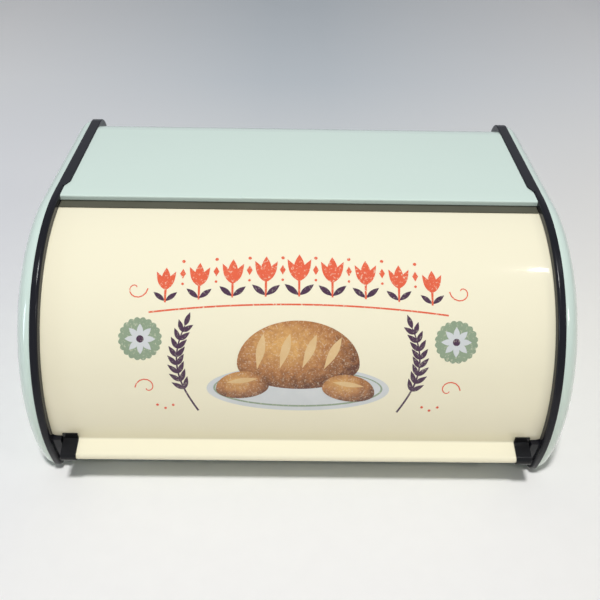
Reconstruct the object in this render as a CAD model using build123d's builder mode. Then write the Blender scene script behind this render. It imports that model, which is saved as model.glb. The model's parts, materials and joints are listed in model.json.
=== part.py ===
from build123d import *
import math
import os

# Roll-top bread box, in millimetres.
# X runs left to right, Y front to back, Z up. The origin is the middle of the
# footprint at table height. The lid turns about a left-right axis: every arc
# of the frames, the grooves and the lid is centred on it.

# Lid
axis_height = 47.0        # lid axis above the table
lid_radius = 131.8        # outer face of the sheet
lid_sheet = 0.8
lid_top_angle = 97.0      # upper edge, from straight ahead, over the axis
lid_foot_angle = 3.1      # bend to the lip, below straight ahead
open_angle = 84.0         # travel from closed to open
lip_bend = 1.6
lip_droop = 15.0          # the lip slopes down by this angle
lip_depth = 14.5          # front of the lip, out from the lid's face
lip_nose = 3.1            # radius of the rolled front edge
lip_return = 9.0          # sheet folded back under the lip
lid_corner_lift = 1.6     # the lid's outer corners above the bend
lid_corner_round = 6.0

# Side frames
frame_span = 396.0        # over the outer faces of the two frames
frame_lift = 3.0          # underside of the frames above the table
frame_width = 6.0         # thickness of the moulding
rim_band = 6.3            # from the groove out to the front rim
rear_band = 14.8          # from the groove out to the back
inner_band = 5.1          # from the groove in to the window
rim_lip = 1.5             # rim standing round the end cap
rim_round = 2.2           # rounding of the rim towards the lid
rim_edge_round = 1.3      # rounding of the rim towards the end cap
rear_corner = 18.0
toe_corner = 8.0
window_sill = 15.0        # frame strip under the window
window_corner = 12.0
pocket_depth = 2.8        # moulding pockets behind the rear corners
pocket_band = 12.0        # solid band left between a pocket and the outline

# Groove that guides the lid
groove_play = 0.9         # each side of the sheet
groove_depth = 3.0
groove_end_play = 1.0     # past the open lid's runner, in degrees
lid_edge_play = 0.8       # sheet edge to the bottom of the groove

# Stop blocks at the frames' toes
block_width = 6.5
block_recess = 3.0        # the block's face behind the rim's face
block_gap = 0.3           # lid corner above the block
block_wall_gap = 0.2      # block to the pan's front wall
block_foot = 8.0          # lower end above the frame's underside

# Body shell: top and back in one sheet
shell_sheet = 0.8
shell_corner = 33.0       # bend from the top to the back
flange_cover = 1.0        # frame flange lying over the shell
flange_width = 3.4        # reach of that flange inboard of the frame
flange_round = 0.85       # rounding of its inboard edge
notch_start = 16.5        # front end of the flange, behind the lid axis
notch_run = 8.0           # length of the notch's curved end
notch_slant = 0.3         # sideways slant of the curve's two ends
ledge_sheet = 1.2         # frame ledge under the shell's top
ledge_reach = 6.0
ledge_start = 18.0        # behind the lid axis
ledge_length = 84.0
hem_front = 5.5           # front face of the hem, ahead of the lid axis
hem_gap = 0.9             # hem above the lid
hem_bend = 1.3
hem_return = 5.0          # sheet folded back under the top
strip_length = 10.0       # end of the top, curved down to the hem
strip_radius = 250.0
seal_reach = 8.0          # rubber seal over the lid, ahead of the hem's face
seal_lap = 5.0            # seal under the hem
seal_fit = 0.05           # seal to the hem
seal_gap = 0.3            # seal to the lid and to the frames
bottom_bend = 2.0
bottom_return = 16.0      # shell flange under the pan
back_flange = 10.0        # shell flanges folded forward along the frames
back_flange_low = 24.0    # their lower end above the table
back_flange_length = 120.0

# Ventilation holes in the back
vent_radius = 2.5
vent_pitch = 12.0
vent_columns = 9
vent_rows = 2
vent_drop = 60.0          # below the top

# Base pan
pan_sheet = 0.8
pan_lift = 6.2            # underside of the pan above the table
pan_gap = 2.6             # front wall to the lid's inner face
pan_overlap = 3.2         # top of the front wall above the lid's bend
pan_bend = 3.0
pan_rear_bend = 1.6
pan_rear_flange = 14.0
pan_hem_radius = 1.5
pan_hem_return = 4.0
side_flange = 10.0        # pan flanges folded up along the frames
side_flange_inset = 14.0  # their ends, from the pan's front and back

# Handle clips over the ends of the lip
clip_width = 12.0
clip_wall = 1.2
clip_tab = 5.0            # tab standing up the lid's face
clip_fit = 0.1
clip_edge = 0.4           # rounding of the clip's edges
clip_block_gap = 1.0      # clip to stop block

# Lid runners on the lid's upper corners
runner_lap = 3.5          # shoe over the lid, in degrees
runner_end = 1.5          # shoe beyond the lid's edge, in degrees
runner_play = 0.3         # to each wall of the groove
runner_end_play = 0.3     # to the bottom of the groove
runner_reach = 10.0       # cover on the lid inboard of the groove
runner_side_gap = 0.5     # thick part to the frame
runner_pad = 1.1          # thickness over each face of the lid there
runner_fit = 0.05

# Rivets and screws
rivet_radius = 1.5
rivet_head_radius = 2.6
rivet_head = 0.9
rivet_fit = 0.05
seam_rivet_count = 5
seam_rivet_pitch = 80.0
screw_radius = 1.5
screw_length = 6.4
screw_head_radius = 3.0
screw_head = 1.8
screw_fit = 0.1
screw_row = (-92.0, 0.0, 92.0)
screw_row_height = 6.0    # above the underside of the pan
rear_screw_heights = (58.0, 118.0)
rear_screw_edge = 5.6     # in front of the frame's back

# End caps
cap_sheet = 0.8
cap_bulge = 17.0          # dome beyond the frame's outer face
cap_shoulder = 31.0       # width of the dome's curved border
cap_steps = 6
cap_fit = 0.2             # edge of the cap to the frame's rim
tab_width = 12.0
tab_length = 9.0

# Rubber feet
foot_radius = 9.0
foot_top_radius = 8.0
foot_stem = 2.5
foot_hole_fit = 0.2
foot_barb = 3.6
foot_barb_height = 1.8
foot_side_inset = 37.0    # foot's middle to the inner face of the frame
foot_front_inset = 28.0   # foot's middle to the pan's front wall
foot_rear_inset = 45.0    # foot's middle to the pan's back

# Sizes worked out from the above
lid_inner = lid_radius - lid_sheet
groove_outer = lid_radius + groove_play
groove_inner = lid_inner - groove_play
frame_radius = groove_outer + rim_band
window_radius = groove_inner - inner_band
rear_reach = groove_outer + rear_band
lid_reach = lid_radius + lip_depth + clip_wall
axis_y = (lid_reach - rear_reach) / 2
frame_face = frame_span / 2
inner_face = frame_face - frame_width
frame_top = axis_height + frame_radius
cap_seat = frame_face - rim_lip
lid_half = inner_face + groove_depth - lid_edge_play
shell_top = frame_top - flange_cover
shell_back = axis_y + rear_reach - flange_cover
hem_bottom = axis_height + lid_radius + hem_gap
seal_radius = lid_radius + hem_gap - seal_fit
pan_floor = pan_lift + pan_sheet
pan_rear = shell_back - shell_sheet
pan_front = axis_y - lid_inner + pan_gap
crease_height = axis_height - lid_radius * math.sin(math.radians(lid_foot_angle))
corner_height = crease_height + lid_corner_lift
block_top = corner_height - block_gap
clip_outer = inner_face - block_width - clip_block_gap
clip_inner = clip_outer - clip_width
lip_half = clip_outer - clip_wall
runner_start = lid_top_angle - runner_lap
runner_stop = lid_top_angle + runner_end
runner_thick_end = inner_face - runner_side_gap
groove_end = runner_stop + open_angle + groove_end_play
screw_spots = [(axis_y + y, pan_lift + screw_row_height) for y in screw_row]
rear_spots = [(axis_y + rear_reach - rear_screw_edge, z) for z in rear_screw_heights]
foot_x = inner_face - foot_side_inset
foot_rows = (("front", pan_front + foot_front_inset), ("rear", pan_rear - foot_rear_inset))
far = 4 * frame_radius    # longer than anything in the section
cut_past = 1.0            # bands that cut or join run on by this angle


def polar(radius, angle):
    """Point on a circle about the lid axis, the angle from straight ahead."""
    turn = math.radians(angle)
    return (axis_y - radius * math.cos(turn), axis_height + radius * math.sin(turn))


def side_outline(inset, rear_radius, toe_radius):
    """The frames' outline seen from the side, drawn in by the inset."""
    radius = frame_radius - inset
    top = axis_height + radius
    low = frame_lift + inset
    rear = axis_y + rear_reach - inset
    toe = axis_y - math.sqrt(radius**2 - (axis_height - low) ** 2)
    with BuildSketch() as outline:
        with BuildLine():
            Polyline((axis_y, top), (rear, top), (rear, low), (toe, low))
            ThreePointArc((toe, low), (axis_y - radius, axis_height), (axis_y, top))
        make_face()
        fillet(outline.vertices().sort_by(Axis.X)[-2:], rear_radius)
        fillet(outline.vertices().group_by(Axis.Y)[0].sort_by(Axis.X)[0], toe_radius)
    return outline.sketch


def arc_band(inner, outer, start, end):
    """Part of a ring about the lid axis, between two angles from straight ahead."""
    middle = (start + end) / 2
    with BuildSketch() as band:
        with BuildLine():
            ThreePointArc(polar(outer, start), polar(outer, middle), polar(outer, end))
            Line(polar(outer, end), polar(inner, end))
            ThreePointArc(polar(inner, end), polar(inner, middle), polar(inner, start))
            Line(polar(inner, start), polar(outer, start))
        make_face()
    return band.sketch


def lip_line():
    """Outer face of the lip: bend, top, rolled nose and the fold underneath."""
    heading = math.radians(lid_foot_angle)
    droop = math.radians(lip_droop)
    front = axis_y - lid_radius - lip_depth
    with BuildLine() as line:
        down = (math.sin(heading), -math.cos(heading))
        bend = JernArc(polar(lid_radius, -lid_foot_angle), down, lip_bend, lip_droop - lid_foot_angle - 90)
        run = ((bend @ 1).X - front - lip_nose * (1 - math.sin(droop))) / math.cos(droop)
        slope = (-math.cos(droop), -math.sin(droop))
        top = PolarLine(bend @ 1, run, direction=slope)
        nose = JernArc(top @ 1, slope, lip_nose, 180 - lip_droop)
        Line(nose @ 1, (nose @ 1) + (lip_return, 0))
    return line.wire()


def lid_section():
    """The lid's sheet seen from the side, from its upper edge to the lip."""
    lip = lip_line()
    with BuildSketch() as section:
        with BuildLine():
            sweep_angle = lid_top_angle + lid_foot_angle
            CenterArc((axis_y, axis_height), lid_radius, 180 - lid_top_angle, sweep_angle)
            add(lip)
            offset(amount=lid_sheet, side=Side.LEFT)
        make_face()
    return section.sketch


def shell_outline():
    """Everything within the shell's outer faces, seen from the side."""
    front = axis_y + notch_start
    low = pan_floor + bottom_bend
    with BuildSketch() as outline:
        with BuildLine():
            Polyline((front, low), (front, shell_top), (shell_back, shell_top), (shell_back, low), close=True)
        make_face()
        fillet(outline.vertices().group_by(Axis.Y)[-1].sort_by(Axis.X)[-1], shell_corner)
    return outline.sketch


def runner_plane(side, radius):
    """Plane square to the runner's rivet, its normal pointing away from the axis."""
    turn = math.radians(lid_top_angle - runner_lap / 2)
    place = polar(radius, lid_top_angle - runner_lap / 2)
    middle = runner_thick_end - runner_reach / 2
    outward = (0, -math.cos(turn), math.sin(turn))
    return Plane(origin=(side * middle, *place), x_dir=(1, 0, 0), z_dir=outward)


# Right side frame: the black moulding that ties the sheets together
with BuildPart() as right_side_frame:
    with BuildSketch(Plane.YZ.offset(inner_face)):
        add(side_outline(0, rear_corner, toe_corner))
    extrude(amount=frame_width)
    fillet(right_side_frame.faces().sort_by(Axis.X)[0].edges(), rim_round)
    fillet(right_side_frame.faces().sort_by(Axis.X)[-1].edges(), rim_edge_round)
    # Seat of the end cap
    with BuildSketch(Plane.YZ.offset(cap_seat)):
        add(side_outline(rim_lip, rear_corner - rim_lip, toe_corner - rim_lip))
    extrude(amount=rim_lip, mode=Mode.SUBTRACT)
    # Window into the hollow of the end cap
    with BuildSketch(Plane.YZ.offset(inner_face)) as window:
        with Locations((axis_y, axis_height)):
            Circle(window_radius)
        with Locations((axis_y, frame_lift + window_sill - far / 2)):
            Rectangle(far, far, mode=Mode.SUBTRACT)
        fillet(window.vertices(), window_corner)
    extrude(amount=frame_width, mode=Mode.SUBTRACT)
    # Pockets that thin the rear corners
    with BuildSketch(Plane.YZ.offset(cap_seat)):
        add(side_outline(pocket_band, rear_corner, toe_corner))
        with Locations((axis_y, axis_height)):
            Circle(groove_outer + rim_lip, mode=Mode.SUBTRACT)
        with Locations((axis_y - far / 2, axis_height)):
            Rectangle(far, far, mode=Mode.SUBTRACT)
        with Locations((axis_y, frame_lift + window_sill - far / 2)):
            Rectangle(far, far, mode=Mode.SUBTRACT)
    extrude(amount=-pocket_depth, mode=Mode.SUBTRACT)
    # Flange over the edges of the shell's top and back
    with BuildSketch(Plane.YZ.offset(inner_face - flange_width)):
        add(side_outline(0, rear_corner, toe_corner))
        add(shell_outline(), mode=Mode.SUBTRACT)
        with Locations((axis_y + notch_start - far / 2, axis_height)):
            Rectangle(far, far, mode=Mode.SUBTRACT)
        with Locations((axis_y, pan_floor + bottom_bend - far / 2)):
            Rectangle(far, far, mode=Mode.SUBTRACT)
    extrude(amount=flange_width + rim_round)
    # Front end of the flange, drawn in to the rim by a curve
    with BuildSketch(Plane.XY.offset(shell_top)):
        with BuildLine():
            tip = (inner_face - flange_width, axis_y + notch_start)
            root = (inner_face, axis_y + notch_start - notch_run)
            Spline(tip, root, tangents=((notch_slant, -1.0), (notch_slant, -1.0)))
            Polyline(root, (inner_face + rim_round, root[1]), (inner_face + rim_round, tip[1]), tip)
        make_face()
    extrude(amount=flange_cover)
    upper = right_side_frame.faces().filter_by(Axis.Z).sort_by(Axis.Z)[-1]
    fillet(upper.edges().filter_by(Axis.Y).sort_by(Axis.X)[0], flange_round)
    # Ledge under the shell's top
    with BuildSketch(Plane.YZ.offset(inner_face - ledge_reach)):
        ledge_middle = axis_y + ledge_start + ledge_length / 2
        with Locations((ledge_middle, shell_top - shell_sheet - ledge_sheet / 2)):
            Rectangle(ledge_length, ledge_sheet)
    extrude(amount=ledge_reach)
    # Groove that guides the lid
    with BuildSketch(Plane.YZ.offset(inner_face)):
        add(arc_band(groove_inner, groove_outer, -lid_foot_angle, groove_end))
    extrude(amount=groove_depth, mode=Mode.SUBTRACT)
    # Stop block under the lid's corner
    with BuildSketch(Plane.YZ.offset(inner_face - block_width)):
        with Locations((axis_y, axis_height)):
            Circle(frame_radius - block_recess)
        with Locations((pan_front - block_wall_gap + far / 2, axis_height)):
            Rectangle(far, far, mode=Mode.SUBTRACT)
        with Locations((axis_y, block_top + far / 2)):
            Rectangle(far, far, mode=Mode.SUBTRACT)
        with Locations((axis_y, frame_lift + block_foot - far / 2)):
            Rectangle(far, far, mode=Mode.SUBTRACT)
    extrude(amount=block_width)
    with BuildSketch(Plane.YZ.offset(inner_face)):
        with Locations(*screw_spots, *rear_spots):
            Circle(screw_radius + screw_fit)
    extrude(amount=frame_width, mode=Mode.SUBTRACT)

# Body shell: hem, top, back and the flange under the pan, bent from one sheet
with BuildPart() as body_shell:
    with BuildSketch(Plane.YZ.offset(-inner_face)):
        with BuildLine():
            face = axis_y - hem_front
            tilt = math.degrees(strip_length / strip_radius)
            drop = strip_radius * (1 - math.cos(math.radians(tilt)))
            rise = shell_top - drop - hem_bottom - hem_bend * (1 + math.cos(math.radians(tilt)))
            fold = Line((face + hem_bend + hem_return, hem_bottom), (face + hem_bend, hem_bottom))
            curl = JernArc(fold @ 1, (-1, 0), hem_bend, -90)
            front = PolarLine(curl @ 1, rise, direction=(0, 1))
            brow = JernArc(front @ 1, (0, 1), hem_bend, tilt - 90)
            strip = JernArc(brow @ 1, brow % 1, strip_radius, -tilt)
            top = Line(strip @ 1, (shell_back - shell_corner, shell_top))
            corner = JernArc(top @ 1, (1, 0), shell_corner, -90)
            back = Line(corner @ 1, (shell_back, pan_lift - shell_sheet + bottom_bend))
            foot = JernArc(back @ 1, (0, -1), bottom_bend, -90)
            PolarLine(foot @ 1, bottom_return, direction=(-1, 0))
            offset(amount=shell_sheet, side=Side.RIGHT)
        make_face()
    extrude(amount=2 * inner_face)
    # Side flanges along the frames
    flange_middle = back_flange_low + back_flange_length / 2
    for side in (-1, 1):
        with BuildSketch(Plane.YZ.offset(side * inner_face)):
            with Locations((shell_back - back_flange / 2, flange_middle)):
                Rectangle(back_flange, back_flange_length)
        extrude(amount=-side * shell_sheet)
    with BuildSketch(Plane.YZ.offset(-inner_face)):
        with Locations(*rear_spots):
            Circle(screw_radius + screw_fit)
    extrude(amount=2 * inner_face, mode=Mode.SUBTRACT)
    with BuildSketch(Plane.XZ.offset(-shell_back)):
        with Locations((0, shell_top - vent_drop)):
            with GridLocations(vent_pitch, vent_pitch, vent_columns, vent_rows):
                Circle(vent_radius)
    extrude(amount=shell_sheet, mode=Mode.SUBTRACT)
    with BuildSketch(Plane.XY.offset(pan_lift - shell_sheet)):
        with Locations((0, shell_back - bottom_bend - bottom_return / 2)):
            with GridLocations(seam_rivet_pitch, 1, seam_rivet_count, 1):
                Circle(rivet_radius + rivet_fit)
    extrude(amount=shell_sheet, mode=Mode.SUBTRACT)

# Hem seal: a rubber strip glued under the hem, its free edge over the lid
with BuildPart() as hem_seal:
    hem_angle = math.degrees(math.acos(hem_front / seal_radius))
    seal_start = hem_angle - math.degrees(seal_reach / seal_radius)
    seal_stop = hem_angle + math.degrees(seal_lap / seal_radius)
    with BuildSketch(Plane.YZ.offset(seal_gap - inner_face)):
        add(arc_band(lid_radius + seal_gap, seal_radius, seal_start, seal_stop))
    extrude(amount=2 * (inner_face - seal_gap))

# Base pan: floor, front wall behind the lid's lower edge, and side flanges
with BuildPart() as base_pan:
    with BuildSketch(Plane.YZ.offset(-inner_face)):
        with BuildLine():
            wall_top = crease_height + pan_overlap - pan_hem_radius
            rear = Line((pan_rear, pan_lift + pan_rear_flange), (pan_rear, pan_lift + pan_rear_bend))
            heel = JernArc(rear @ 1, (0, -1), pan_rear_bend, -90)
            floor = Line(heel @ 1, (pan_front + pan_bend, pan_lift))
            toe = JernArc(floor @ 1, (-1, 0), pan_bend, -90)
            wall = Line(toe @ 1, (pan_front, wall_top))
            hem = JernArc(wall @ 1, (0, 1), pan_hem_radius, -180)
            PolarLine(hem @ 1, pan_hem_return, direction=(0, -1))
            offset(amount=pan_sheet, side=Side.RIGHT)
        make_face()
    extrude(amount=2 * inner_face)
    flange_start = pan_front + side_flange_inset
    flange_stop = pan_rear - side_flange_inset
    for side in (-1, 1):
        with BuildSketch(Plane.YZ.offset(side * inner_face)):
            with Locations(((flange_start + flange_stop) / 2, pan_lift + side_flange / 2)):
                Rectangle(flange_stop - flange_start, side_flange)
        extrude(amount=-side * pan_sheet)
    with BuildSketch(Plane.YZ.offset(-inner_face)):
        with Locations(*screw_spots):
            Circle(screw_radius + screw_fit)
    extrude(amount=2 * inner_face, mode=Mode.SUBTRACT)
    with BuildSketch(Plane.XY.offset(pan_lift)):
        with Locations((0, shell_back - bottom_bend - bottom_return / 2)):
            with GridLocations(seam_rivet_pitch, 1, seam_rivet_count, 1):
                Circle(rivet_radius + rivet_fit)
        for end, y in foot_rows:
            with Locations((-foot_x, y), (foot_x, y)):
                Circle(foot_stem + foot_hole_fit)
    extrude(amount=pan_sheet, mode=Mode.SUBTRACT)

# Right end cap: a pressed dome with tabs folded in over the frame
with BuildPart() as right_end_cap:
    for sheet, mode in ((0.0, Mode.ADD), (cap_sheet, Mode.SUBTRACT)):
        edge = rim_lip + cap_fit + sheet
        with BuildSketch(Plane.YZ.offset(cap_seat)):
            add(side_outline(edge, rear_corner - edge, toe_corner - edge))
        extrude(amount=rim_lip, mode=mode)
        for step in range(cap_steps + 1):
            turn = math.radians(90 * step / cap_steps)
            inset = edge + cap_shoulder * (1 - math.cos(turn))
            height = frame_face + (cap_bulge - sheet) * math.sin(turn)
            with BuildSketch(Plane.YZ.offset(height)):
                add(side_outline(inset, rear_corner - edge, toe_corner - edge))
        loft(mode=mode)
    with BuildSketch(Plane.YZ.offset(cap_seat)):
        edge = rim_lip + cap_fit + cap_sheet / 2
        for y, z in screw_spots:
            with Locations((y, frame_lift + edge + tab_length / 2)):
                Rectangle(tab_width, tab_length)
        for y, z in rear_spots:
            with Locations((axis_y + rear_reach - edge - tab_length / 2, z)):
                Rectangle(tab_length, tab_width)
        with Locations(*screw_spots, *rear_spots):
            Circle(screw_radius + screw_fit, mode=Mode.SUBTRACT)
    extrude(amount=cap_sheet)

# Lid: the curved sheet with its lip
with BuildPart() as lid_panel:
    with BuildSketch(Plane.YZ.offset(-lid_half)):
        add(lid_section())
    extrude(amount=2 * lid_half)
    # Outer corners that pass the clips and rest on the stop blocks
    for side in (-1, 1):
        with BuildSketch(Plane.XZ.offset(-axis_y)):
            with Locations((side * (lip_half + far / 2), corner_height - far / 2)):
                Rectangle(far, far)
        extrude(amount=2 * frame_radius, mode=Mode.SUBTRACT)
    lower = lid_panel.edges().filter_by(Axis.Y).group_by(Axis.X)
    fillet(lower[0].sort_by(Axis.Z)[0], lid_corner_round)
    lower = lid_panel.edges().filter_by(Axis.Y).group_by(Axis.X)
    fillet(lower[-1].sort_by(Axis.Z)[0], lid_corner_round)
    for side in (-1, 1):
        with BuildSketch(runner_plane(side, lid_inner)):
            Circle(rivet_radius + rivet_fit)
        extrude(amount=2 * lid_sheet, both=True, mode=Mode.SUBTRACT)

# Right handle clip: a cap over the end of the lip, with a tab up the lid's face
lip = lip_line()
with BuildPart() as right_handle_clip:
    tab_angle = math.degrees(clip_tab / lid_radius) - lid_foot_angle
    with BuildSketch(Plane.YZ.offset(clip_inner)):
        with BuildLine():
            add(lip)
            behind = (lip @ 0).X + lid_sheet
            Polyline(lip @ 1, (behind, (lip @ 1).Y), (behind, (lip @ 0).Y), lip @ 0)
        make_face()
        offset(amount=clip_wall)
        add(arc_band(lid_radius, lid_radius + clip_wall, -lid_foot_angle - cut_past, tab_angle))
    extrude(amount=clip_width)
    fillet(right_handle_clip.faces().sort_by(Axis.X)[0].edges(), clip_edge)
    fillet(right_handle_clip.faces().sort_by(Axis.X)[-1].edges(), clip_edge)
    with BuildSketch(Plane.YZ.offset(clip_inner)):
        add(lid_section())
        offset(amount=clip_fit)
    extrude(amount=lip_half + clip_fit - clip_inner, mode=Mode.SUBTRACT)
    with BuildSketch(Plane.YZ.offset(clip_inner)):
        add(arc_band(window_radius, lid_radius + clip_fit, -lid_foot_angle, lid_top_angle))
    extrude(amount=lip_half + clip_fit - clip_inner, mode=Mode.SUBTRACT)
    with BuildSketch(Plane.YZ.offset(clip_inner)):
        with Locations((axis_y, corner_height - clip_fit + far / 2)):
            Rectangle(far, far)
        with Locations((axis_y, axis_height)):
            Circle(lid_radius + clip_fit, mode=Mode.INTERSECT)
    extrude(amount=clip_width, mode=Mode.SUBTRACT)

# Right lid runner: a nylon shoe over the lid's corner, with a thin tongue in the groove
with BuildPart() as right_lid_runner:
    with BuildSketch(Plane.YZ.offset(runner_thick_end)):
        add(arc_band(groove_inner + runner_play, groove_outer - runner_play, runner_start, runner_stop))
    extrude(amount=runner_side_gap + groove_depth - runner_end_play)
    with BuildSketch(Plane.YZ.offset(runner_thick_end - runner_reach)):
        add(arc_band(lid_inner - runner_pad, lid_radius + runner_pad, runner_start, runner_stop))
    extrude(amount=runner_reach)
    with BuildSketch(Plane.YZ.offset(runner_thick_end - runner_reach)):
        add(arc_band(lid_inner - runner_fit, lid_radius + runner_fit, runner_start - cut_past, lid_top_angle))
    extrude(amount=lid_half + runner_fit - runner_thick_end + runner_reach, mode=Mode.SUBTRACT)
    with BuildSketch(runner_plane(1, lid_inner)):
        Circle(rivet_radius + rivet_fit)
    extrude(amount=2 * runner_pad + lid_sheet, both=True, mode=Mode.SUBTRACT)

# Right runner rivet, headed on both faces
with BuildPart() as right_runner_rivet:
    low = lid_inner - runner_pad - rivet_fit
    high = lid_radius + runner_pad + rivet_fit
    with BuildSketch(runner_plane(1, low)):
        Circle(rivet_radius)
    extrude(amount=high - low)
    with BuildSketch(runner_plane(1, low)):
        Circle(rivet_head_radius)
    extrude(amount=-rivet_head)
    with BuildSketch(runner_plane(1, high)):
        Circle(rivet_head_radius)
    extrude(amount=rivet_head)

# Right frame screws: through the sheet flanges and the frame into the cap's tabs
with BuildPart() as right_frame_screws:
    for spots, sheet in ((screw_spots, pan_sheet), (rear_spots, shell_sheet)):
        with BuildSketch(Plane.YZ.offset(inner_face - sheet)):
            with Locations(*spots):
                Circle(screw_head_radius)
        extrude(amount=-screw_head)
        with BuildSketch(Plane.YZ.offset(inner_face - sheet)):
            with Locations(*spots):
                Circle(screw_radius)
        extrude(amount=screw_length)
    heads = right_frame_screws.faces().filter_by(Axis.X).group_by(Axis.X)[0]
    fillet(heads.edges(), screw_head / 2)

# Seam rivets: the shell's lower flange to the pan
with BuildPart() as seam_rivets:
    seam_y = shell_back - bottom_bend - bottom_return / 2
    with BuildSketch(Plane.XY.offset(pan_lift - shell_sheet - rivet_head)):
        with Locations((0, seam_y)):
            with GridLocations(seam_rivet_pitch, 1, seam_rivet_count, 1):
                Circle(rivet_head_radius)
    extrude(amount=rivet_head)
    with BuildSketch(Plane.XY.offset(pan_lift - shell_sheet)):
        with Locations((0, seam_y)):
            with GridLocations(seam_rivet_pitch, 1, seam_rivet_count, 1):
                Circle(rivet_radius)
    extrude(amount=shell_sheet + pan_sheet)
    with BuildSketch(Plane.XY.offset(pan_floor)):
        with Locations((0, seam_y)):
            with GridLocations(seam_rivet_pitch, 1, seam_rivet_count, 1):
                Circle(rivet_head_radius)
    extrude(amount=rivet_head)

pieces = {
    "body_shell": body_shell.part,
    "hem_seal": hem_seal.part,
    "base_pan": base_pan.part,
    "right_side_frame": right_side_frame.part,
    "right_end_cap": right_end_cap.part,
    "lid_panel": lid_panel.part,
    "right_handle_clip": right_handle_clip.part,
    "right_lid_runner": right_lid_runner.part,
    "right_runner_rivet": right_runner_rivet.part,
    "right_frame_screws": right_frame_screws.part,
    "seam_rivets": seam_rivets.part,
}

# Rubber feet, pushed through holes in the pan
for end, y in foot_rows:
    for side, x in (("left", -foot_x), ("right", foot_x)):
        centre = (x, y, 0)
        stem_top = pan_floor + foot_barb_height
        with BuildPart() as foot:
            with BuildSketch(Plane(origin=centre, x_dir=(1, 0, 0), z_dir=(0, -1, 0))):
                with BuildLine():
                    Polyline(
                        (0, 0),
                        (foot_top_radius, 0),
                        (foot_radius, pan_lift),
                        (foot_stem, pan_lift),
                        (foot_stem, pan_floor),
                        (foot_barb, pan_floor),
                        (foot_stem, stem_top),
                        (0, stem_top),
                        close=True,
                    )
                make_face()
            revolve(axis=Axis(centre, (0, 0, 1)))
        pieces[f"{end}_{side}_foot"] = foot.part

# The left-hand pieces mirror the right-hand ones
for name in [name for name in pieces if name.startswith("right_")]:
    with BuildPart() as mirrored:
        mirror(pieces[name], about=Plane.YZ)
    pieces[name.replace("right_", "left_")] = mirrored.part

os.makedirs("parts", exist_ok=True)
for name, piece in pieces.items():
    piece.label = name
    export_step(piece, f"parts/{name}.step")
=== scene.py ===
import json
import math

import bmesh
import bpy
from mathutils import Matrix, Vector


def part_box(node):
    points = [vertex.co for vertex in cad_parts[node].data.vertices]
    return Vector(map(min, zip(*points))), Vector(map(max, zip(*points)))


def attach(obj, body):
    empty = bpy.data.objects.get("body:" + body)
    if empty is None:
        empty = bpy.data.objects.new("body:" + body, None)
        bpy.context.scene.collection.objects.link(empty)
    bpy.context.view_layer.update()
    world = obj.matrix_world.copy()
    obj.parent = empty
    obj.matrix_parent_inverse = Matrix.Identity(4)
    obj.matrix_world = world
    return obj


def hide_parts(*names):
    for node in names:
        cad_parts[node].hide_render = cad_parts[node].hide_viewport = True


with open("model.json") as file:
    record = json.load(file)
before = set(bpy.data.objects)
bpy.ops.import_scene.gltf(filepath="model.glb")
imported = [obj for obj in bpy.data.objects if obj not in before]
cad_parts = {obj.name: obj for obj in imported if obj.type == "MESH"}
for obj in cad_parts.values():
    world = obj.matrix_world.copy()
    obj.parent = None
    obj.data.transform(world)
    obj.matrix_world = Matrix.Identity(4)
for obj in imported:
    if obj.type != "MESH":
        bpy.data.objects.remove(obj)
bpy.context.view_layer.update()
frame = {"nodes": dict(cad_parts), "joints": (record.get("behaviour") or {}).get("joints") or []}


# Camera, held above the front of the table and pointing down at the box, so that
# the lid is seen nearly square on and the top panel at a slant.
lens = bpy.data.cameras.new("camera")
lens.lens = 42.0
lens.sensor_width = 36.0
lens.clip_start = 0.01
camera = bpy.data.objects.new("camera", lens)
bpy.context.scene.collection.objects.link(camera)
bpy.context.scene.camera = camera
pan, tilt, roll = (math.radians(angle) for angle in (-0.842, 50.943, 1.213))
aim = Matrix.Rotation(pan, 3, "Z") @ Matrix.Rotation(tilt, 3, "X") @ Matrix.Rotation(roll, 3, "Z")
camera.rotation_euler = aim.to_euler()
camera.location = (-0.0053, -0.4934, 0.4756)


# Side frames: one black ABS moulding at each end, which carries the lid's groove
# and ties top, pan and end cap together. The mould gave it a fine satin grain.
def start_material(name):
    """A new material, its node tree, its shader, and the place on the piece in metres."""
    material = bpy.data.materials.new(name)
    material.use_nodes = True
    tree = material.node_tree
    place = tree.nodes.new("ShaderNodeTexCoord").outputs["Object"]
    return material, tree, tree.nodes["Principled BSDF"], place


def cloud(tree, place, scale, detail=2.0, distortion=0.0, fineness=0.5):
    """Soft noise, with the scale in features per metre; more fineness makes it grainier."""
    noise = tree.nodes.new("ShaderNodeTexNoise")
    noise.inputs["Scale"].default_value = scale
    noise.inputs["Detail"].default_value = detail
    noise.inputs["Roughness"].default_value = fineness
    noise.inputs["Distortion"].default_value = distortion
    tree.links.new(place, noise.inputs["Vector"])
    return noise.outputs["Fac"]


def stretch(tree, value, start, stop, low, high):
    """Maps start to low and stop to high, and holds both ends."""
    node = tree.nodes.new("ShaderNodeMapRange")
    tree.links.new(value, node.inputs["Value"])
    sockets = ("From Min", "From Max", "To Min", "To Max")
    for socket, number in zip(sockets, (start, stop, low, high)):
        node.inputs[socket].default_value = number
    return node.outputs["Result"]


def tint(tree, factor, first, second):
    """Runs from the first colour to the second; each is three numbers or a socket."""
    mix = tree.nodes.new("ShaderNodeMix")
    mix.data_type = "RGBA"
    tree.links.new(factor, mix.inputs["Factor"])
    for socket, colour in (("A", first), ("B", second)):
        if isinstance(colour, tuple):
            mix.inputs[socket].default_value = (*colour, 1)
        else:
            tree.links.new(colour, mix.inputs[socket])
    return mix.outputs["Result"]


def relief(tree, height, depth, under=None):
    """Bump of that depth in metres, on top of another bump if one is given."""
    bump = tree.nodes.new("ShaderNodeBump")
    bump.inputs["Distance"].default_value = depth
    tree.links.new(height, bump.inputs["Height"])
    if under:
        tree.links.new(under, bump.inputs["Normal"])
    return bump.outputs["Normal"]


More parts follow.
